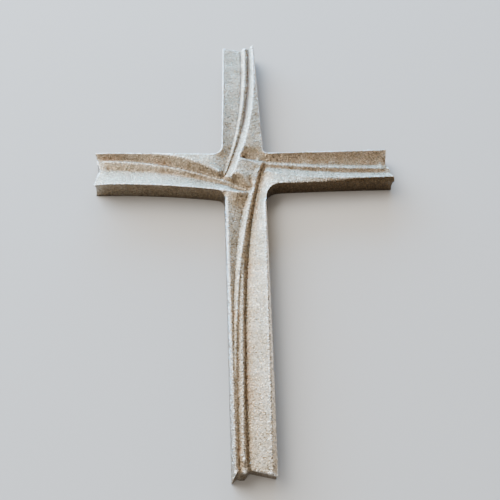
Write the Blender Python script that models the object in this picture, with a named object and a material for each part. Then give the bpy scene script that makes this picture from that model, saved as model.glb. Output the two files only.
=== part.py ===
"""A cast bronze cross that lies on its flat back (z = 0), its carved front up and its head towards +Y.

The front is one carved skin. On each arm, from the left hand to the right hand of who looks out along it,
a wide sloping face runs down to a valley, then come a low ridge, a groove, a high ridge and the far edge.
These creases sweep sideways on their way in, and each arm's creases end on the next arm's, so that the four
arms turn like a pinwheel about a small square boss.

Each crease is a curve with a height. All of them are edges of one triangulated skin, and upright side walls
join the skin to the back.
"""

import math

import bmesh
import bpy
from mathutils import Vector
from mathutils.geometry import delaunay_2d_cdt

MM = 0.001

# Driving sizes, in millimetres
HEIGHT = 150.0
SPAN = 99.5
CROSSING_HEIGHT = 96.2
LEFT_REACH = 49.0
ARM_WIDTH = 12.4
THICKNESS = 8.0

# How far the rounding of each inner corner runs along the arms, by the arm on whose left hand it lies
CORNER_REACH = {"top": 3.4, "left": 2.6, "stem": 5.2, "right": 1.8}
CORNER_STEPS = 6

# Hollow of the wide faces at the middle of their width, and the shares of the width where it gets points.
# The left arm's starts well out, where the next arm's creases no longer cross it
HOLLOW = 0.2
HOLLOW_SHARES = (0.3, 0.65)
LEFT_HOLLOW_START = 8.0

# Lengths over which the droop of a worn tip fades inwards, and the flare of a crease outwards
DROOP_LENGTH = 3.0
FLARE_LENGTH = 3.5

# How far an arm's end leans out, from its carved edge down to the back, unless a crease says more
END_LEAN = 0.2

# Length between the points of a crease, near the crossing and at the end of an arm
FINE_STEP = 1.0
COARSE_STEP = 3.0
HOLLOW_STEP = 3.5

# Where two points of the skin count as one, and how often a search for a crossing halves its step
SAME_POINT = 0.01
HALVINGS = 40

BRONZE_COLOUR = (0.33, 0.28, 0.225, 1.0)
BRONZE_ROUGHNESS = 0.42

HALF_WIDTH = ARM_WIDTH / 2
CREASE_ORDER = (
    "left_edge", "left_rim", "valley", "fine_ridge", "fine_groove",
    "ridge", "groove", "high_ridge", "right_edge",
)


class Arm:
    """An arm's own frame: t runs out from the crossing's centre, s to the left hand of who looks that way."""

    def __init__(self, name, out, length):
        self.name = name
        self.out = Vector(out)
        self.left = Vector((-self.out.y, self.out.x))
        self.length = length
        self.creases = {}

    def plan(self, t, s):
        return self.out * t + self.left * s

    def local(self, point):
        return point.dot(self.out), point.dot(self.left)

    def in_order(self):
        return [self.creases[name] for name in CREASE_ORDER if name in self.creases]


class Crease:
    """A line along an arm, from a start near the crossing to an end near the arm's tip.

    Its offset s goes from the tip value to the root value, which it has beside the crossing's centre, as a
    power of the way in. Its height goes from one to the other in step with the way. Offsets are shares of
    half an arm's width, heights of the thickness. notch is how far the crease stops short of the arm's
    length, lean how far out the end's wall leans there, and reach the length of a crease that doesn't run
    the whole arm. droop is how far a worn tip sinks, and flare how far the crease swings out more beside the
    crossing, both as shares.
    """

    def __init__(
        self, arm, tip, root, bend, heights, notch=0.0, lean=END_LEAN, reach=None, droop=0.0, flare=0.0
    ):
        self.arm = arm
        self.tip, self.root, self.bend = tip, root, bend
        self.tip_height, self.root_height = heights
        self.reach = reach or arm.length
        self.lean = lean
        self.droop = droop
        self.flare = flare
        self.start = 0.0
        self.end = self.reach - notch
        self.first = None
        self.last = None
        self.joints = []

    def way_in(self, t):
        return max(0.0, 1.0 - t / self.reach)

    def offset(self, t):
        sweep = self.tip + (self.root - self.tip) * self.way_in(t) ** self.bend
        return HALF_WIDTH * (sweep + self.flare * math.exp(-t / FLARE_LENGTH))

    def point(self, t):
        plan = self.arm.plan(t, self.offset(t))
        share = self.tip_height + (self.root_height - self.tip_height) * self.way_in(t)
        worn = self.droop * math.exp((t - self.end) / DROOP_LENGTH)
        return Vector((plan.x, plan.y, THICKNESS * (share - worn)))

    def back_point(self):
        """The point of the back under the crease's end."""
        plan = self.arm.plan(self.end + self.lean, self.offset(self.end))
        return Vector((plan.x, plan.y, 0.0))

    def crosses(self, other):
        """The t at which this crease, followed inwards from its end, first crosses the other one."""

        def beside(t):
            there, aside = other.arm.local(self.point(t).to_2d())
            return aside - other.offset(there)

        outer = self.end
        while beside(outer - FINE_STEP) * beside(self.end) > 0:
            outer -= FINE_STEP
        inner = outer - FINE_STEP
        for _ in range(HALVINGS):
            middle = (inner + outer) / 2
            if beside(middle) * beside(self.end) > 0:
                outer = middle
            else:
                inner = middle
        return inner

    def stop_at(self, other):
        """Starts this crease on the other one, at a point that both then have."""
        self.start = self.crosses(other)
        there, _ = other.arm.local(self.point(self.start).to_2d())
        other.joints.append(there)
        self.first = other.point(there)
        return self.first

    def branch_from(self, other, t):
        """Starts this crease at the other one's point at t."""
        self.start = t
        self.first = other.point(t)

    def part_from(self, other):
        """Ends this crease on the other one, at this one's reach."""
        other.joints.append(self.reach)
        self.last = other.point(self.reach)

    def points(self):
        """The crease's points from its start to its end, with one at each joint."""
        stations = [self.start]
        while stations[-1] < self.end:
            share = max(0.0, stations[-1]) / self.arm.length
            stations.append(stations[-1] + FINE_STEP + (COARSE_STEP - FINE_STEP) * share)
        squeeze = (self.end - self.start) / (stations[-1] - self.start)
        stations = [self.start + (t - self.start) * squeeze for t in stations]
        joints = [t for t in self.joints if self.start < t < self.end]
        inside = [t for t in stations[1:-1] if all(abs(t - joint) > FINE_STEP / 2 for joint in joints)]
        made = [self.point(t) for t in sorted(inside + joints)]
        first = self.first or self.point(self.start)
        last = self.last or self.point(self.end)
        return [first] + made + [last]


def make_arms():
    """The four arms with their creases, each from the left hand to the right."""
    top = Arm("top", (0, 1), HEIGHT - CROSSING_HEIGHT)
    left = Arm("left", (-1, 0), LEFT_REACH)
    stem = Arm("stem", (0, -1), CROSSING_HEIGHT)
    right = Arm("right", (1, 0), SPAN - LEFT_REACH)
    top.creases = {
        "left_edge": Crease(top, 0.91, 1.16, 1.2, (0.82, 0.84), notch=0.9),
        "valley": Crease(top, -0.15, 0.98, 2.6, (0.65, 0.67), notch=1.0),
        "ridge": Crease(top, -0.37, 0.85, 2.2, (0.79, 0.70), notch=0.4),
        "groove": Crease(top, -0.61, 0.82, 2.5, (0.69, 0.62), notch=0.2),
        "high_ridge": Crease(top, -0.85, 0.42, 2.62, (0.91, 0.88), droop=-0.02),
        "right_edge": Crease(top, -0.96, -1.15, 1.5, (0.87, 0.76), notch=0.7, droop=0.06),
    }
    left.creases = {
        "left_edge": Crease(left, 0.99, 1.60, 2.2, (0.93, 0.90), notch=0.7, droop=0.14),
        "valley": Crease(left, -0.10, 1.25, 2.43, (0.60, 0.62), notch=2.3, lean=0.8, droop=-0.05),
        "ridge": Crease(left, -0.55, 1.19, 2.15, (0.76, 0.72), notch=1.0, lean=0.5, droop=0.04),
        "groove": Crease(left, -0.72, 1.05, 2.26, (0.67, 0.58), notch=1.3, lean=0.5),
        "high_ridge": Crease(left, -0.985, 0.81, 1.65, (0.86, 0.84), reach=31.0, flare=1.2),
        "right_edge": Crease(left, -1.05, -0.93, 0.8, (0.86, 0.80), notch=0.2, droop=0.05),
    }
    stem.creases = {
        "left_edge": Crease(stem, 0.86, 1.16, 0.8, (0.70, 0.82), notch=1.0),
        "left_rim": Crease(stem, 0.64, 1.12, 0.9, (0.86, 0.90), notch=1.3, droop=0.04),
        "valley": Crease(stem, -0.29, 1.02, 3.1, (0.58, 0.56), notch=3.1, lean=0.6),
        "fine_ridge": Crease(stem, -0.51, -0.02, 1.15, (0.76, 0.76), notch=1.9, lean=1.0),
        "fine_groove": Crease(stem, -0.72, 0.73, 2.6, (0.68, 0.76), notch=2.5, lean=1.6),
        "ridge": Crease(stem, -0.78, 0.89, 3.0, (0.80, 0.80), notch=2.7, lean=1.6),
        "groove": Crease(stem, -0.82, 0.72, 3.9, (0.78, 0.66), notch=2.6, lean=1.5),
        "high_ridge": Crease(stem, -0.87, -0.97, 2.0, (0.84, 0.82), notch=1.9, lean=0.9),
        "right_edge": Crease(stem, -1.07, -1.03, 1.0, (0.66, 0.72), lean=0.0),
    }
    right.creases = {
        "left_edge": Crease(right, 1.12, 0.97, 0.8, (0.83, 0.80), notch=1.6),
        "valley": Crease(right, 0.19, 0.745, 2.4, (0.66, 0.64), notch=2.5),
        "ridge": Crease(right, -0.03, 0.50, 1.9, (0.78, 0.68), notch=1.2, droop=0.06),
        "groove": Crease(right, -0.32, 0.42, 2.1, (0.70, 0.62), notch=1.5),
        "high_ridge": Crease(right, -0.72, 0.30, 3.7, (0.90, 0.74), notch=0.8),
        "right_edge": Crease(right, -0.86, -1.07, 1.8, (0.70, 0.90), notch=0.3, lean=0.0, droop=0.06),
    }
    return top, left, stem, right


# The boss in the crossing's square, as (share across from its left side, share down from its top side,
# height as a share of the thickness): the lip under its top side, the brow where its two faces meet, and the
# shallow line that parts a strip from them on the right
BOSS_LIP = ((0.03, 0.07, 0.86), (0.45, 0.12, 0.84), (0.93, 0.16, 0.79))
BOSS_BROW = ((0.10, 0.62, 0.88), (0.30, 0.69, 0.89), (0.49, 0.74, 0.87), (0.70, 0.86, 0.79))
BOSS_STRIP = (
    (0.95, 0.29, 0.76), (0.775, 0.39, 0.78), (0.77, 0.57, 0.79), (0.77, 0.785, 0.76), (0.93, 0.93, 0.70)
)


def join_creases(top, left, stem, right):
    """Ends each arm's creases on those of the next one. Returns the square's corners, clockwise."""
    top, left, stem, right = (arm.creases for arm in (top, left, stem, right))
    bottom_left = top["high_ridge"].stop_at(left["groove"])
    bottom_right = left["groove"].stop_at(stem["ridge"])
    top_right = stem["ridge"].stop_at(right["valley"])
    top_left = right["valley"].stop_at(top["high_ridge"])
    for name in ("valley", "ridge", "groove"):
        top[name].stop_at(left["groove"])
    left["high_ridge"].stop_at(top["valley"])
    left["high_ridge"].part_from(left["right_edge"])
    for name in ("ridge", "valley", "left_edge"):
        left[name].stop_at(stem["groove"])
    stem["groove"].stop_at(left["groove"])
    stem["high_ridge"].stop_at(left["left_edge"])
    stem["valley"].stop_at(right["groove"])
    stem["fine_ridge"].stop_at(stem["ridge"])
    stem["fine_groove"].stop_at(stem["fine_ridge"])
    for name in ("ridge", "groove"):
        right[name].stop_at(stem["ridge"])
    right["high_ridge"].stop_at(stem["valley"])
    return top_left, top_right, bottom_right, bottom_left


def boss_line(corners, shares):
    """A line of the boss, from its places in the square."""
    top_left, top_right, bottom_right, bottom_left = (corner.to_2d() for corner in corners)
    line = []
    for across, down, height in shares:
        plan = top_left.lerp(top_right, across).lerp(bottom_left.lerp(bottom_right, across), down)
        line.append(Vector((plan.x, plan.y, THICKNESS * height)))
    return line


def rounded_corner(edge, next_edge, reach):
    """The curve that rounds the corner where an arm's left edge meets the next arm's right edge.

    Both edges are made to start at the curve's ends.
    """
    corner_at = edge.crosses(next_edge)
    corner = edge.point(corner_at)
    next_at, _ = next_edge.arm.local(corner.to_2d())
    next_edge.start = next_at + reach
    joint = corner_at + reach
    begin, end = edge.point(joint), next_edge.point(next_edge.start)
    curve = []
    for step in range(CORNER_STEPS + 1):
        share = step / CORNER_STEPS
        plan = begin.lerp(corner, share).lerp(corner.lerp(end, share), share)
        plan.z = begin.z + (end.z - begin.z) * share
        curve.append(plan)
    return joint, curve


def outline_of(arms):
    """The outline's points in order, and the points of the back under them."""
    corners = {}
    for arm, next_arm in zip(arms, arms[1:] + arms[:1]):
        edge, next_edge = arm.creases["left_edge"], next_arm.creases["right_edge"]
        joint, curve = rounded_corner(edge, next_edge, CORNER_REACH[arm.name])
        if arm.name == "left":
            edge.joints.append(joint)
        else:
            edge.start = joint
        if "left_rim" in arm.creases:
            arm.creases["left_rim"].branch_from(edge, joint)
        corners[arm.name] = joint, curve
    outline, back = [], []
    for arm in arms:
        joint, curve = corners[arm.name]
        ends = [crease for crease in arm.in_order() if crease.reach == arm.length][::-1]
        edge = arm.creases["left_edge"].points()
        left_edge = [point for point in edge if arm.local(point.to_2d())[0] > joint + SAME_POINT]
        before = arm.creases["right_edge"].points()[:-1]
        after = left_edge[-2::-1] + curve[:-1]
        outline += before + [crease.point(crease.end) for crease in ends] + after
        under = [[Vector((p.x, p.y, 0.0)) for p in side] for side in (before, after)]
        back += under[0] + [crease.back_point() for crease in ends] + under[1]
    return outline, back


def hollow_points(arm, inner):
    """Points along the middle of an arm's wide face, sunk a little, from inner to near the arm's tip."""
    edge = arm.creases.get("left_rim", arm.creases["left_edge"])
    valley = arm.creases["valley"]
    rows = []
    t = inner + HOLLOW_STEP
    while t < valley.end - HOLLOW_STEP:
        for share in HOLLOW_SHARES:
            point = edge.point(t).lerp(valley.point(t), share)
            point.z -= HOLLOW * 4 * share * (1 - share)
            rows.append(point)
        t += HOLLOW_STEP
    return rows


class Skin:
    """Points and edges in plan, each point with its height, ready to be triangulated."""

    def __init__(self):
        self.points = []
        self.edges = []

    def add_point(self, point):
        for index, known in enumerate(self.points):
            if (known.to_2d() - point.to_2d()).length < SAME_POINT:
                return index
        self.points.append(point)
        return len(self.points) - 1

    def add_line(self, line, closed=False):
        indices = [self.add_point(point) for point in line]
        pairs = list(zip(indices, indices[1:] + indices[:1]))
        self.edges += [pair for pair in (pairs if closed else pairs[:-1]) if pair[0] != pair[1]]

    def triangulate(self):
        """The skin's triangles, between its points. A point where two lines cross gets the height of one."""
        plan = [point.to_2d() for point in self.points]
        places, _, faces, origins, _, _ = delaunay_2d_cdt(plan, self.edges, [], 1, SAME_POINT / 10)
        known = {}
        for index, (place, origin) in enumerate(zip(places, origins)):
            if not origin:
                self.points.append(Vector((place.x, place.y, self.height_on_edge(place))))
            known[index] = origin[0] if origin else len(self.points) - 1
        return [[known[index] for index in face] for face in faces]

    def height_on_edge(self, place):
        def off_line(pair):
            a, b = (self.points[index].to_2d() for index in pair)
            share = min(1.0, max(0.0, (place - a).dot(b - a) / (b - a).length_squared))
            return (a.lerp(b, share) - place).length, share

        pair = min(self.edges, key=lambda pair: off_line(pair)[0])
        share = off_line(pair)[1]
        return self.points[pair[0]].z * (1 - share) + self.points[pair[1]].z * share


def carved_shape():
    """The front skin, its triangles and outline, and the points of the back under the outline."""
    arms = make_arms()
    corners = join_creases(*arms)
    outline, back = outline_of(arms)
    skin = Skin()
    skin.add_line(outline, closed=True)
    for arm in arms:
        for name, crease in arm.creases.items():
            if name == "right_edge" or (name == "left_edge" and arm.name != "left"):
                continue
            skin.add_line(crease.points())
    for shares in (BOSS_LIP, BOSS_BROW, BOSS_STRIP):
        skin.add_line(boss_line(corners, shares))
    for arm in arms:
        inner = LEFT_HOLLOW_START if arm.name == "left" else arm.creases["left_edge"].start
        for point in hollow_points(arm, inner):
            skin.add_point(point)
    faces = skin.triangulate()
    return skin.points, faces, [skin.add_point(point) for point in outline], back


def make_solid(name, material, collection):
    """The skin, side walls down from its outline, and the flat back."""
    points, faces, outline, back = carved_shape()
    body = bmesh.new()
    front = [body.verts.new(point * MM) for point in points]
    under = [body.verts.new(point * MM) for point in back]
    for face in faces:
        body.faces.new([front[index] for index in face])
    rim = [front[index] for index in outline]
    for top, next_top, foot, next_foot in zip(rim, rim[1:] + rim[:1], under, under[1:] + under[:1]):
        body.faces.new((top, foot, next_foot, next_top))
    body.faces.new(under[::-1])
    bmesh.ops.recalc_face_normals(body, faces=body.faces)
    mesh = bpy.data.meshes.new(name)
    body.to_mesh(mesh)
    body.free()
    mesh.materials.append(material)
    solid = bpy.data.objects.new(name, mesh)
    collection.objects.link(solid)
    return solid


def bronze():
    material = bpy.data.materials.new("bronze")
    material.use_nodes = True
    shader = material.node_tree.nodes["Principled BSDF"]
    shader.inputs["Base Color"].default_value = BRONZE_COLOUR
    shader.inputs["Metallic"].default_value = 1.0
    shader.inputs["Roughness"].default_value = BRONZE_ROUGHNESS
    return material


def main():
    for obj in list(bpy.data.objects):
        bpy.data.objects.remove(obj)
    collection = bpy.data.collections.new("bronze_cross")
    bpy.context.scene.collection.children.link(collection)
    make_solid("bronze_cross", bronze(), collection)


main()
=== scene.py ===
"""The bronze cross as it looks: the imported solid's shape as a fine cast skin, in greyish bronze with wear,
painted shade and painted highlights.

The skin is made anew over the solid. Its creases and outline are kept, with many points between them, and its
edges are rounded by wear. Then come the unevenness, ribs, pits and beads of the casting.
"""
import math

import bmesh
import bpy
import numpy as np
from mathutils import Matrix, Quaternion, Vector, noise
from mathutils.bvhtree import BVHTree
from mathutils.geometry import delaunay_2d_cdt
from mathutils.kdtree import KDTree


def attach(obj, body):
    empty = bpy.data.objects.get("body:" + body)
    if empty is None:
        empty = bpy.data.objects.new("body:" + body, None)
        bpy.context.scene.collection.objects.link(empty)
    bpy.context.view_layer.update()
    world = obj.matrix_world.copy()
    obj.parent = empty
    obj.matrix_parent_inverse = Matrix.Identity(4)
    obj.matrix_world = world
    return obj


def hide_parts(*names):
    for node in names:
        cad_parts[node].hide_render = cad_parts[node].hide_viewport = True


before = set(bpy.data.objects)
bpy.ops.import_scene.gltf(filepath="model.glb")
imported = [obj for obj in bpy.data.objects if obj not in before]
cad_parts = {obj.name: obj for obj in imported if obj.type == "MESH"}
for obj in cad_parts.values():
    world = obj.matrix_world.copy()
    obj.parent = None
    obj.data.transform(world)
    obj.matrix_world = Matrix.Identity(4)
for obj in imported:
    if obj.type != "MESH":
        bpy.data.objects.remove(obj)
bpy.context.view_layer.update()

MM = 0.001
UP = Vector((0, 0, 1))
HIGH_ABOVE = 100.0

# The skin's mesh, in millimetres
GRID = 0.33
BACK_GRID = 3.0
CLEAR_OF_LINES = 0.55
SAME_POINT = 0.001
LINE_ANGLE = math.radians(7)
SKIN_FLOOR = 1.0
SHARP_TURN = math.radians(45)
TIP_REACH = 2.5
WALL_ROWS = 14
WALL_CROWDING = 2.3

# Which of the solid's edges are creases, and not seams between flat faces: those over the sure angle, and
# sharp ones that run on nearly straight at both ends
SHARP_CREASE = math.radians(5)
SURE_CREASE = math.radians(38)
STRAIGHT_ON = math.cos(math.radians(18))

# Smoothing: many rounds on the faces, growing from one distance off the creases to another, then a few rounds
# everywhere, and more of them within reach of the outline's edge. Each moves a point part of the way
PART_WAY = 0.5
IRON_ROUNDS = 70
IRON_FROM = 0.35
IRON_TO = 1.3
WEAR_ROUNDS = 2
RIM_ROUNDS = 3
RIM_REACH = 0.6
CURVATURE_ROUNDS = 12

# The casting's unevenness, as (size across, height), in millimetres
SWELLS = ((7.0, 0.05), (2.2, 0.03), (1.0, 0.03))
OCTAVES = 2

# Fine ribs across the two side arms: how far apart, how long, how high, and from how far out, in millimetres
RIB_PITCH = 0.55
RIB_LENGTH = 5.0
RIB_HEIGHT = 0.022
RIBS_FROM = 7.0
RIBS_FADE = 4.0

# Marks of the casting, as (place, radius, height) in millimetres: beads and lumps stand proud, pits go in.
# Each one ends at so many radii
MARK_REACH = 2.5
MARKS = (
    ((5.06, 3.92, 5.4), 0.45, 0.35),
    ((12.58, -6.0, 4.5), 0.5, 0.45),
    ((-1.1, -15.1, 5.6), 0.5, -0.12),
    ((-0.85, -16.7, 5.6), 0.45, -0.16),
    ((-0.75, -17.3, 5.6), 0.45, -0.16),
    ((-1.08, -18.8, 5.6), 0.6, -0.14),
    ((3.54, -36.9, 5.3), 0.4, -0.22),
    ((-1.29, -32.0, 6.1), 0.7, -0.2),
    ((-4.0, -89.7, 5.6), 0.6, 0.25),
    ((-3.0, -91.0, 5.8), 0.7, 0.35),
    ((-2.0, -92.0, 5.4), 0.6, 0.3),
    ((4.0, -77.8, 6.0), 0.35, 0.18),
    ((4.24, -87.4, 6.2), 0.35, 0.15),
    ((-26.0, 6.6, 6.9), 0.6, 0.3),
    ((0.68, -5.6, 6.5), 0.45, 0.2),
    ((1.63, -6.4, 6.2), 0.45, 0.2),
)


def packed_solid(node):
    """The node's mesh in millimetres, with its points welded and the faces of its carved front tagged."""
    solid = bmesh.new()
    solid.from_mesh(node.data)
    bmesh.ops.transform(solid, matrix=Matrix.Scale(1 / MM, 4), verts=solid.verts)
    bmesh.ops.remove_doubles(solid, verts=solid.verts, dist=SAME_POINT)
    solid.normal_update()
    for face in solid.faces:
        face.tag = min(vert.co.z for vert in face.verts) > SKIN_FLOOR
    return solid


def is_back(face):
    return max(vert.co.z for vert in face.verts) < SAME_POINT


def loop_round(edges, is_inside):
    """The points of a closed chain of edges, in the order in which the faces inside it turn."""
    following = {}
    for edge in edges:
        loop = next(loop for loop in edge.link_loops if is_inside(loop.face))
        following[loop.vert] = loop.link_loop_next.vert
    ring = [next(iter(following))]
    while following[ring[-1]] is not ring[0]:
        ring.append(following[ring[-1]])
    return [vert.co.copy() for vert in ring]


def sharp_corners(ring):
    """Places in a ring where its outline turns sharply outwards in plan."""
    plan = [point.to_2d() for point in ring]
    turns = []
    for before, here, after in zip(plan[-1:] + plan[:-1], plan, plan[1:] + plan[:1]):
        turns.append(-(here - before).angle_signed(after - here))
    way_round = math.copysign(1.0, sum(turns))
    return [index for index, turn in enumerate(turns) if turn * way_round > SHARP_TURN]


def along(line, share):
    """The point at a share of a line's length."""
    lengths = [0.0]
    for a, b in zip(line, line[1:]):
        lengths.append(lengths[-1] + (b - a).to_2d().length)
    wanted = share * lengths[-1]
    for a, b, before, after in zip(line, line[1:], lengths, lengths[1:]):
        if wanted <= after:
            return a.lerp(b, (wanted - before) / max(after - before, SAME_POINT))
    return line[-1].copy()


def rims(solid):
    """The carved front's outline, and under each of its points one of the back's outline.

    The two are matched at the arms' tips, and in step between them.
    """
    rings = []
    for is_inside in (lambda face: face.tag, is_back):
        edges = [edge for edge in solid.edges if sum(map(is_inside, edge.link_faces)) == 1]
        rings.append(loop_round(edges, is_inside))
    top, foot = rings[0], rings[1][::-1]

    def apart(index, other):
        return (foot[other] - top[index]).to_2d().length

    foot_tips = sharp_corners(foot)
    tips = [(index, min(foot_tips, key=lambda other: apart(index, other))) for index in sharp_corners(top)]
    tips = [tip for tip in tips if apart(*tip) < TIP_REACH]
    first, first_foot = tips[0]
    top, foot = top[first:] + top[:first], foot[first_foot:] + foot[:first_foot]
    stops = [((a - first) % len(top), (b - first_foot) % len(foot)) for a, b in tips]
    stops.append((len(top), len(foot)))
    fine_top, fine_foot = [], []
    for (a, b), (next_a, next_b) in zip(stops, stops[1:]):
        side = (top + top[:1])[a:next_a + 1]
        under = (foot + foot[:1])[b:next_b + 1]
        points = [point for start, end in zip(side, side[1:]) for point in finer(start, end, GRID)]
        points += side[-1:]
        lengths = np.cumsum([0.0] + [(q - p).to_2d().length for p, q in zip(points, points[1:])])
        fine_top += points[:-1]
        fine_foot += [along(under, length / lengths[-1]) for length in lengths[:-1]]
    return fine_top, fine_foot


def finer(a, b, step):
    """Points from a towards b, without b, no further apart than step."""
    count = max(1, math.ceil((b - a).length / step))
    return [a.lerp(b, index / count) for index in range(count)]


class Sheet:
    """Points in plan with heights, and lines between them, filled with points on a solid's faces."""

    def __init__(self, solid, is_inside, step):
        self.step = step
        self.points = []
        self.edges = []
        self.known = {}
        faces = [[vert.index for vert in face.verts] for face in solid.faces if is_inside(face)]
        self.surface = BVHTree.FromPolygons([vert.co.copy() for vert in solid.verts], faces)

    def index(self, point):
        key = (round(point.x, 3), round(point.y, 3))
        if key not in self.known:
            self.known[key] = len(self.points)
            self.points.append(point)
        return self.known[key]

    def add_line(self, line):
        indices = [self.index(point) for point in line]
        self.edges += [pair for pair in zip(indices, indices[1:]) if pair[0] != pair[1]]

    def fill(self):
        """Adds a triangular lattice of points, where it lies on the faces and clear of the lines."""
        lines = KDTree(len(self.points))
        for index, point in enumerate(self.points):
            lines.insert((point.x, point.y, 0.0), index)
        lines.balance()
        low = [min(point[axis] for point in self.points) for axis in (0, 1)]
        high = [max(point[axis] for point in self.points) for axis in (0, 1)]
        row_height = self.step * math.sqrt(0.75)
        for row in range(int((high[1] - low[1]) / row_height) + 1):
            for column in range(int((high[0] - low[0]) / self.step) + 1):
                x = low[0] + (column + 0.5 * (row % 2)) * self.step
                place = Vector((x, low[1] + row * row_height, 0.0))
                if lines.find(place)[2] < CLEAR_OF_LINES * self.step:
                    continue
                hit = self.surface.ray_cast(place + UP * HIGH_ABOVE, -UP)[0]
                if hit:
                    self.points.append(hit)

    def triangles(self):
        plan = [point.to_2d() for point in self.points]
        places, _, faces, origins, _, _ = delaunay_2d_cdt(plan, self.edges, [], 1, SAME_POINT / 10)
        old = []
        for place, origin in zip(places, origins):
            if origin:
                old.append(origin[0])
                continue
            old.append(len(self.points))
            nearest = self.surface.find_nearest(Vector((place.x, place.y, 0.0)))[0]
            self.points.append(Vector((place.x, place.y, nearest.z)))
        return [[old[index] for index in face] for face in faces]


def fine_skin(solid):
    """The whole fine mesh as points and faces: the carved front, the walls and the back."""
    top, foot = rims(solid)
    front = Sheet(solid, lambda face: face.tag, GRID)
    front.add_line(top + top[:1])
    for edge in solid.edges:
        if all(face.tag for face in edge.link_faces) and edge.calc_face_angle(0.0) > LINE_ANGLE:
            a, b = (vert.co.copy() for vert in edge.verts)
            front.add_line(finer(a, b, GRID) + [b])
    rim = [front.index(point) for point in top]
    front.fill()
    faces = front.triangles()
    points = front.points
    columns = [[index] for index in rim]
    for row in range(1, WALL_ROWS + 1):
        share = math.expm1(WALL_CROWDING * row / WALL_ROWS) / math.expm1(WALL_CROWDING)
        for column, above, below in zip(columns, top, foot):
            column.append(len(points))
            points.append(above.lerp(below, share))
    for column, following in zip(columns, columns[1:] + columns[:1]):
        for row in range(WALL_ROWS):
            faces.append([column[row], column[row + 1], following[row + 1], following[row]])
    back = Sheet(solid, is_back, BACK_GRID)
    back.add_line(foot + foot[:1])
    edge_of_back = len(back.points)
    back.fill()
    under = {index: column[-1] for index, column in zip((back.index(point) for point in foot), columns)}
    back_faces = back.triangles()
    for index in range(edge_of_back, len(back.points)):
        under[index] = len(points)
        points.append(back.points[index])
    faces += [[under[index] for index in face[::-1]] for face in back_faces]
    return np.array(points), faces, np.array(rim)


class Surface:
    """The fine mesh as arrays, with what smoothing and displacement need."""

    def __init__(self, points, faces):
        self.points = points
        self.faces = faces
        pairs = {tuple(sorted(pair)) for face in faces for pair in zip(face, face[1:] + face[:1])}
        self.pairs = np.array(sorted(pairs))
        self.both_ends = np.concatenate([self.pairs, self.pairs[:, ::-1]])
        self.neighbours = np.bincount(self.both_ends[:, 0], minlength=len(points))

    def mean_of_neighbours(self, points):
        here, there = self.both_ends[:, 0], self.both_ends[:, 1]
        sums = [np.bincount(here, points[there, axis], len(points)) for axis in range(3)]
        return np.stack(sums, axis=1) / self.neighbours[:, None]

    def iron(self, distance):
        """Smooths the faces, and leaves what is near a crease or the outline, by each point's distance."""
        weight = PART_WAY * np.clip((distance - IRON_FROM) / (IRON_TO - IRON_FROM), 0.0, 1.0)
        self.points = self.smoothed(IRON_ROUNDS, weight[:, None])

    def smoothed(self, rounds, weight):
        points = self.points.copy()
        for _ in range(rounds):
            points += weight * (self.mean_of_neighbours(points) - points)
        return points

    def normals(self):
        corners = np.array([face[:3] for face in self.faces])
        a, b, c = (self.points[corners[:, index]] for index in range(3))
        crosses = np.cross(b - a, c - a)
        total = np.zeros_like(self.points)
        for face_corner in range(3):
            for axis in range(3):
                total[:, axis] += np.bincount(corners[:, face_corner], crosses[:, axis], len(total))
        return total / np.linalg.norm(total, axis=1)[:, None]


def distances(points, marks):
    """How far each point is from the nearest of the marks."""
    tree = KDTree(len(marks))
    for index, mark in enumerate(marks):
        tree.insert(mark, index)
    tree.balance()
    return np.array([tree.find(point)[2] for point in points])


def runs_on(edge, vert, sharp):
    """Whether another sharp edge goes on from the edge's end at vert, nearly straight ahead."""
    ahead = (vert.co - edge.other_vert(vert).co).normalized()
    others = [other for other in vert.link_edges if other in sharp and other is not edge]
    ways = [(other.other_vert(vert).co - vert.co).normalized() for other in others]
    return any(ahead.dot(way) > STRAIGHT_ON for way in ways)


def crease_points(solid):
    """Points along the carved front's creases, without the seams between its flat faces."""
    sharp = {edge for edge in solid.edges
             if any(face.tag for face in edge.link_faces) and edge.calc_face_angle(0.0) > SHARP_CREASE}
    marks = []
    for edge in solid.edges:
        if edge not in sharp:
            continue
        if edge.calc_face_angle(0.0) > SURE_CREASE or all(runs_on(edge, vert, sharp) for vert in edge.verts):
            a, b = (vert.co.copy() for vert in edge.verts)
            marks += finer(a, b, GRID) + [b]
    return marks


def casting_relief(point):
    """How far the cast surface stands out at a point, in millimetres."""
    place = Vector(point)
    relief = sum(height * noise.fractal(place / size, 1.0, 2.0, OCTAVES) for size, height in SWELLS)
    ribbed = min(1.0, max(0.0, (abs(place.x) - RIBS_FROM) / RIBS_FADE))
    relief += ribbed * RIB_HEIGHT * noise.noise(Vector((place.x / RIB_PITCH, place.y / RIB_LENGTH, 0.0)))
    for centre, radius, height in MARKS:
        far = (place - Vector(centre)).length / radius
        if far < MARK_REACH:
            relief += height * math.exp(-far * far)
    return relief


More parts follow.
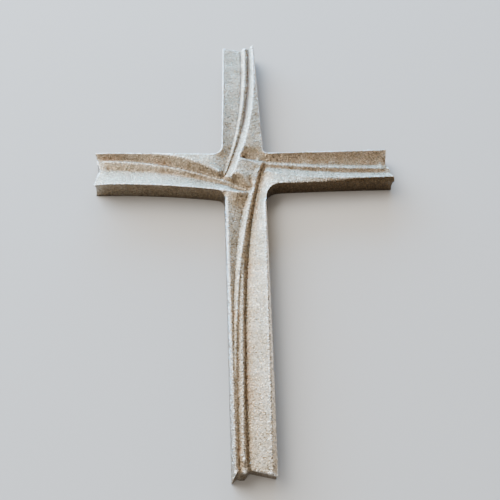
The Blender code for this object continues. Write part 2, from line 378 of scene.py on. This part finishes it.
def cast_cross(node):
    """The piece that shows, in metres.

    Its points have two attributes: how far they stand out of their surroundings, and how near they are to the
    outline, which rounds the edges there and strengthens the wear and painted highlight in the colour.
    """
    solid = packed_solid(node)
    points, faces, rim = fine_skin(solid)
    skin = Surface(points, faces)
    off_creases = distances(points, crease_points(solid))
    skin.iron(np.where(points[:, 2] > SKIN_FLOOR, off_creases, 0.0))
    solid.free()
    loose = (skin.points[:, 2:] > SAME_POINT).astype(float)
    skin.points = skin.smoothed(WEAR_ROUNDS, PART_WAY * loose)
    wear_and_highlight = np.exp(-(distances(skin.points, skin.points[rim]) / RIM_REACH) ** 2)
    skin.points = skin.smoothed(RIM_ROUNDS, PART_WAY * loose * wear_and_highlight[:, None])
    relief = np.array([casting_relief(point) for point in skin.points])
    skin.points += loose * relief[:, None] * skin.normals()
    skin.points[:, 2] = np.maximum(skin.points[:, 2], 0.0)
    hollow = skin.smoothed(CURVATURE_ROUNDS, PART_WAY) - skin.points
    raised = -np.einsum("ij,ij->i", hollow, skin.normals())
    mesh = bpy.data.meshes.new("cast_cross")
    mesh.from_pydata((skin.points * MM).tolist(), [], faces)
    for name, values in (("raised", raised), ("wear_and_highlight", wear_and_highlight)):
        mesh.attributes.new(name, "FLOAT", "POINT").data.foreach_set("value", values.astype(np.float32))
    mesh.shade_smooth()
    cross = bpy.data.objects.new("cast_cross", mesh)
    bpy.context.scene.collection.objects.link(cross)
    return cross


class Nodes:
    """A material's node tree, with short ways to add to it."""

    def __init__(self, name):
        self.material = bpy.data.materials.new(name)
        self.material.use_nodes = True
        self.tree = self.material.node_tree
        self.shader = self.tree.nodes["Principled BSDF"]

    def add(self, kind, **values):
        node = self.tree.nodes.new(kind)
        for name, value in values.items():
            setattr(node, name, value)
        return node

    def link(self, source, target):
        self.tree.links.new(source, target)

    def set(self, socket, value):
        if isinstance(value, bpy.types.NodeSocket):
            self.link(value, socket)
        else:
            socket.default_value = value

    def mottle(self, size, detail=3.0, roughness=0.55, offset=0.0):
        """Noise whose spots are about size across, in millimetres."""
        shifted = self.add("ShaderNodeVectorMath", operation="ADD")
        self.link(self.place, shifted.inputs[0])
        shifted.inputs[1].default_value = (offset, offset, offset)
        texture = self.add("ShaderNodeTexNoise")
        self.link(shifted.outputs[0], texture.inputs["Vector"])
        texture.inputs["Scale"].default_value = 1.0 / (size * MM)
        texture.inputs["Detail"].default_value = detail
        texture.inputs["Roughness"].default_value = roughness
        return texture.outputs["Fac"]

    def between(self, value, low, high, to_low=0.0, to_high=1.0):
        """value, mapped from low and high to the other two, and held there."""
        node = self.add("ShaderNodeMapRange")
        self.set(node.inputs["Value"], value)
        for name, number in (("From Min", low), ("From Max", high), ("To Min", to_low), ("To Max", to_high)):
            self.set(node.inputs[name], number)
        return node.outputs["Result"]

    def maths(self, operation, a, b):
        node = self.add("ShaderNodeMath", operation=operation)
        self.set(node.inputs[0], a)
        self.set(node.inputs[1], b)
        return node.outputs[0]

    def blend(self, share, a, b, mode="MIX"):
        node = self.add("ShaderNodeMix", data_type="RGBA", blend_type=mode)
        self.set(node.inputs["Factor"], share)
        self.set(node.inputs["A"], a)
        self.set(node.inputs["B"], b)
        return node.outputs["Result"]


BRONZE = (0.31, 0.25, 0.17, 1.0)
BRONZE_LIGHT = (0.42, 0.36, 0.27, 1.0)
# The grain's brown, also used as painted shade on faces turned from the head
BRONZE_BROWN_AND_SHADE = (0.17, 0.115, 0.07, 1.0)
# Worn metal, also a painted highlight on high edges
BRONZE_WORN_HIGHLIGHT = (0.76, 0.75, 0.72, 1.0)
# Painted shade in the grooves
BRONZE_GROOVE_SHADE = (0.075, 0.05, 0.032, 1.0)
BRONZE_COPPER = (0.38, 0.215, 0.12, 1.0)
# Painted shade on steep walls and on the right arm's steep facet
BRONZE_STEEP_SHADE = (0.115, 0.08, 0.045, 1.0)


# Its finish: the sizes of its spots, in millimetres, the most that two of the colours cover, how the speckle
# darkens and brightens, the roughness, and the height of the finest grain, in millimetres
GRAIN_SIZE = 0.45
PATCH_SIZE = 4.0
TINT_SIZE = 9.0
SPECKLE_SIZE = 0.55
SHINE_SIZE = 0.8
FINEST_SIZE = 0.3
MOST_BROWN = 0.3
MOST_COPPER = 0.28
SPECKLE_RANGE = (0.45, 1.7)
ROUGHNESS_RANGE = (0.22, 0.36)
WORN_POLISH = 0.08
GRAIN_HEIGHT = 0.15
GRAIN_SHARE = 1.6

# How far a point stands out of its surroundings where a colour starts and where it is full, in millimetres:
# a coppery tone in hollows, painted shade in grooves, and wear with a painted highlight on high edges
HOLLOWS = (0.02, -0.05)
GROOVES = (-0.04, -0.13)
HIGH_EDGES = (0.03, 0.12)

# Which way a face looks where a colour starts and where it is full: painted shade on steep walls, on faces
# turned from the head and on the steep facet over the right arm's lower wall, and wear with a painted
# highlight on the faces turned up
STEEP_SHADE_TILT = (0.52, 0.27)
TURNED_AWAY_SHADE = (0.0, -0.2)
FACET_SHADE_TILT = (-0.36, -0.55)
WEAR_AND_HIGHLIGHT_TILT = (0.15, 0.5)

# Painted shade that changes across the cross, as (from, to, share at the first, share at the second), in
# millimetres
STEEP_SHADE_ACROSS = (-20.0, 20.0, 0.5, 1.0)
GROOVE_SHADE_ALONG = (-2.0, 18.0, 0.22, 0.95)
RIGHT_ARM_SHADE = (0.0, 12.0, 0.0, 0.45)
FACET_SHADE_ACROSS = (14.0, 30.0, 0.0, 1.0)


def shade_along(nodes, place, along_arm):
    start, end, first, second = along_arm
    return nodes.between(place, start * MM, end * MM, first, second)


def bronze():
    nodes = Nodes("satin_bronze")
    nodes.place = nodes.add("ShaderNodeTexCoord").outputs["Object"]
    place = nodes.add("ShaderNodeSeparateXYZ")
    nodes.link(nodes.place, place.inputs[0])
    raised = nodes.add("ShaderNodeAttribute", attribute_name="raised").outputs["Fac"]
    rim = nodes.add("ShaderNodeAttribute", attribute_name="wear_and_highlight").outputs["Fac"]
    facing = nodes.add("ShaderNodeSeparateXYZ")
    nodes.link(nodes.add("ShaderNodeNewGeometry").outputs["Normal"], facing.inputs[0])
    grain = nodes.mottle(GRAIN_SIZE, detail=2.0)
    patches = nodes.mottle(PATCH_SIZE, detail=4.0)
    tint = nodes.mottle(TINT_SIZE, detail=3.0, offset=0.4)

    colour = nodes.blend(nodes.between(patches, 0.35, 0.65), BRONZE, BRONZE_LIGHT)
    colour = nodes.blend(nodes.between(grain, 0.42, 0.66, 0.0, MOST_BROWN), colour, BRONZE_BROWN_AND_SHADE)
    copper = nodes.between(tint, 0.46, 0.62, 0.0, MOST_COPPER)
    copper = nodes.maths("MULTIPLY", copper, nodes.between(raised, *HOLLOWS))
    colour = nodes.blend(copper, colour, BRONZE_COPPER)

    # Painted shade: faces turned from the head are browned, more and more towards the right arm
    turned_away_shade = nodes.between(facing.outputs["Y"], *TURNED_AWAY_SHADE)
    right_arm_shade = shade_along(nodes, place.outputs["X"], RIGHT_ARM_SHADE)
    colour = nodes.blend(nodes.maths("MULTIPLY", turned_away_shade, right_arm_shade), colour, BRONZE_BROWN_AND_SHADE)
    # Painted shade: steep walls and the steep facet over the right arm's lower wall are darkened, more on the
    # right than on the left
    facet_shade_tilt = nodes.between(facing.outputs["Y"], *FACET_SHADE_TILT)
    facet_shade = nodes.maths("MULTIPLY", facet_shade_tilt, shade_along(nodes, place.outputs["X"], FACET_SHADE_ACROSS))
    steep_shade = nodes.maths("MAXIMUM", nodes.between(facing.outputs["Z"], *STEEP_SHADE_TILT), facet_shade)
    steep_shade_across = shade_along(nodes, place.outputs["X"], STEEP_SHADE_ACROSS)
    colour = nodes.blend(nodes.maths("MULTIPLY", steep_shade, steep_shade_across), colour, BRONZE_STEEP_SHADE)
    # Painted shade in the grooves, weak down the stem and nearly full towards the head
    groove_shade_along = shade_along(nodes, place.outputs["Y"], GROOVE_SHADE_ALONG)
    groove_shade = nodes.maths("MULTIPLY", nodes.between(raised, *GROOVES), groove_shade_along)
    colour = nodes.blend(groove_shade, colour, BRONZE_GROOVE_SHADE)

    # Wear with a painted highlight: a near-white rim on high edges, strongest near the outline, on faces
    # turned up, off the shaded facet, in spots
    wear_and_highlight = nodes.maths("MULTIPLY", nodes.between(raised, *HIGH_EDGES), nodes.between(rim, 0.0, 0.6, 0.2, 1.0))
    wear_and_highlight = nodes.maths("MULTIPLY", wear_and_highlight, nodes.between(facing.outputs["Z"], *WEAR_AND_HIGHLIGHT_TILT))
    wear_and_highlight = nodes.maths("MULTIPLY", wear_and_highlight, nodes.between(facet_shade, 0.0, 1.0, 1.0, 0.0))
    wear_and_highlight_in_spots = nodes.maths("MULTIPLY", wear_and_highlight, nodes.between(grain, 0.3, 0.6, 0.6, 1.0))
    colour = nodes.blend(wear_and_highlight_in_spots, colour, BRONZE_WORN_HIGHLIGHT)
    speckle = nodes.mottle(SPECKLE_SIZE, detail=3.0, roughness=0.8, offset=0.9)
    colour = nodes.blend(1.0, colour, nodes.between(speckle, 0.34, 0.66, *SPECKLE_RANGE), mode="MULTIPLY")
    nodes.link(colour, nodes.shader.inputs["Base Color"])
    nodes.shader.inputs["Metallic"].default_value = 1.0

    shine = nodes.mottle(SHINE_SIZE, detail=3.0, offset=0.7)
    rough = nodes.between(shine, 0.3, 0.7, *ROUGHNESS_RANGE)
    rough = nodes.maths("SUBTRACT", rough, nodes.maths("MULTIPLY", wear_and_highlight, WORN_POLISH))
    nodes.link(rough, nodes.shader.inputs["Roughness"])
    bump = nodes.add("ShaderNodeBump")
    bump.inputs["Strength"].default_value = 1.0
    bump.inputs["Distance"].default_value = GRAIN_HEIGHT * MM
    finest = nodes.mottle(FINEST_SIZE, detail=3.0, offset=0.2)
    nodes.link(nodes.maths("ADD", finest, nodes.maths("MULTIPLY", grain, GRAIN_SHARE)), bump.inputs["Height"])
    nodes.link(bump.outputs["Normal"], nodes.shader.inputs["Normal"])
    return nodes.material


# The floor and the room, in metres
FLOOR_SIZE = 8.0
FLOOR_TOP = -0.0001
FLOOR_COLOUR = (0.62, 0.62, 0.61, 1.0)
FLOOR_ROUGHNESS = 0.9
ROOM_COLOUR = (0.84, 0.75, 0.66, 1.0)
ROOM_STRENGTH = 0.14

# The lights, in metres and watts, as (name, place, what it is aimed at, size, power, colour)
LIGHTS = (
    ("sky", (-0.40, 0.92, 0.20), (0, 0, 0), (1.9, 0.42), 66.0, (0.31, 0.61, 1.0)),
    ("window", (-0.65, 0.50, 0.72), (0, 0, 0), (1.0, 0.9), 23.0, (1.0, 0.95, 0.88)),
    ("upper_wall", (0.33, 0.67, 0.68), (0, 0, 0), (0.5, 0.4), 2.2, (1.0, 0.90, 0.76)),
    ("right_wall", (1.0, 0.12, 0.24), (0, -0.04, 0), (0.7, 0.44), 3.8, (1.0, 0.88, 0.76)),
    ("near_wall", (-0.45, -0.65, 0.80), (0, 0, 0), (1.1, 0.9), 4.0, (1.0, 0.90, 0.80)),
)


def pale_floor():
    bpy.ops.mesh.primitive_plane_add(size=FLOOR_SIZE, location=(0, 0, FLOOR_TOP))
    floor = bpy.context.object
    floor.name = "floor"
    material = bpy.data.materials.new("pale_floor")
    material.use_nodes = True
    shader = material.node_tree.nodes["Principled BSDF"]
    shader.inputs["Base Color"].default_value = FLOOR_COLOUR
    shader.inputs["Roughness"].default_value = FLOOR_ROUGHNESS
    floor.data.materials.append(material)


def soft_light(name, place, aimed_at, size, power, colour):
    light = bpy.data.lights.new(name, "AREA")
    light.shape = "RECTANGLE"
    light.size, light.size_y = size
    light.energy = power
    light.color = colour
    lamp = bpy.data.objects.new(name, light)
    lamp.location = place
    lamp.rotation_mode = "QUATERNION"
    lamp.rotation_quaternion = (Vector(aimed_at) - Vector(place)).to_track_quat("-Z", "Y")
    bpy.context.scene.collection.objects.link(lamp)


def light_it():
    """A low blue sky beyond the head, a window to the left of it, and dimmer, warmer walls all round."""
    for light in LIGHTS:
        soft_light(*light)
    world = bpy.data.worlds.new("room")
    world.use_nodes = True
    room = world.node_tree.nodes["Background"]
    room.inputs["Color"].default_value = ROOM_COLOUR
    room.inputs["Strength"].default_value = ROOM_STRENGTH
    bpy.context.scene.world = world


# The camera: where it is and what it looks at, in millimetres, its turn about its own axis, its angle of
# view, and the nearest that it sees, in millimetres
EYE = Vector((-9.7, -108.9, 165.0))
AIM = Vector((1.34, -27.0, 0.0))
ROLL = math.radians(5.79)
SENSOR = 36.0
FOCAL_PIXELS = 580.0
PICTURE_PIXELS = 500.0
NEAREST = 10.0


def point_camera():
    data = bpy.data.cameras.new("camera")
    data.sensor_width = SENSOR
    data.lens = SENSOR * FOCAL_PIXELS / PICTURE_PIXELS
    data.clip_start = NEAREST * MM
    camera = bpy.data.objects.new("camera", data)
    camera.location = EYE * MM
    camera.rotation_mode = "QUATERNION"
    level = (AIM - EYE).to_track_quat("-Z", "Y")
    camera.rotation_quaternion = level @ Quaternion((0, 0, 1), ROLL)
    bpy.context.scene.collection.objects.link(camera)
    bpy.context.scene.camera = camera


point_camera()
cross = cast_cross(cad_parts["bronze_cross"])
cross.data.materials.append(bronze())
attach(cross, "root")
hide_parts("bronze_cross")
pale_floor()
light_it()
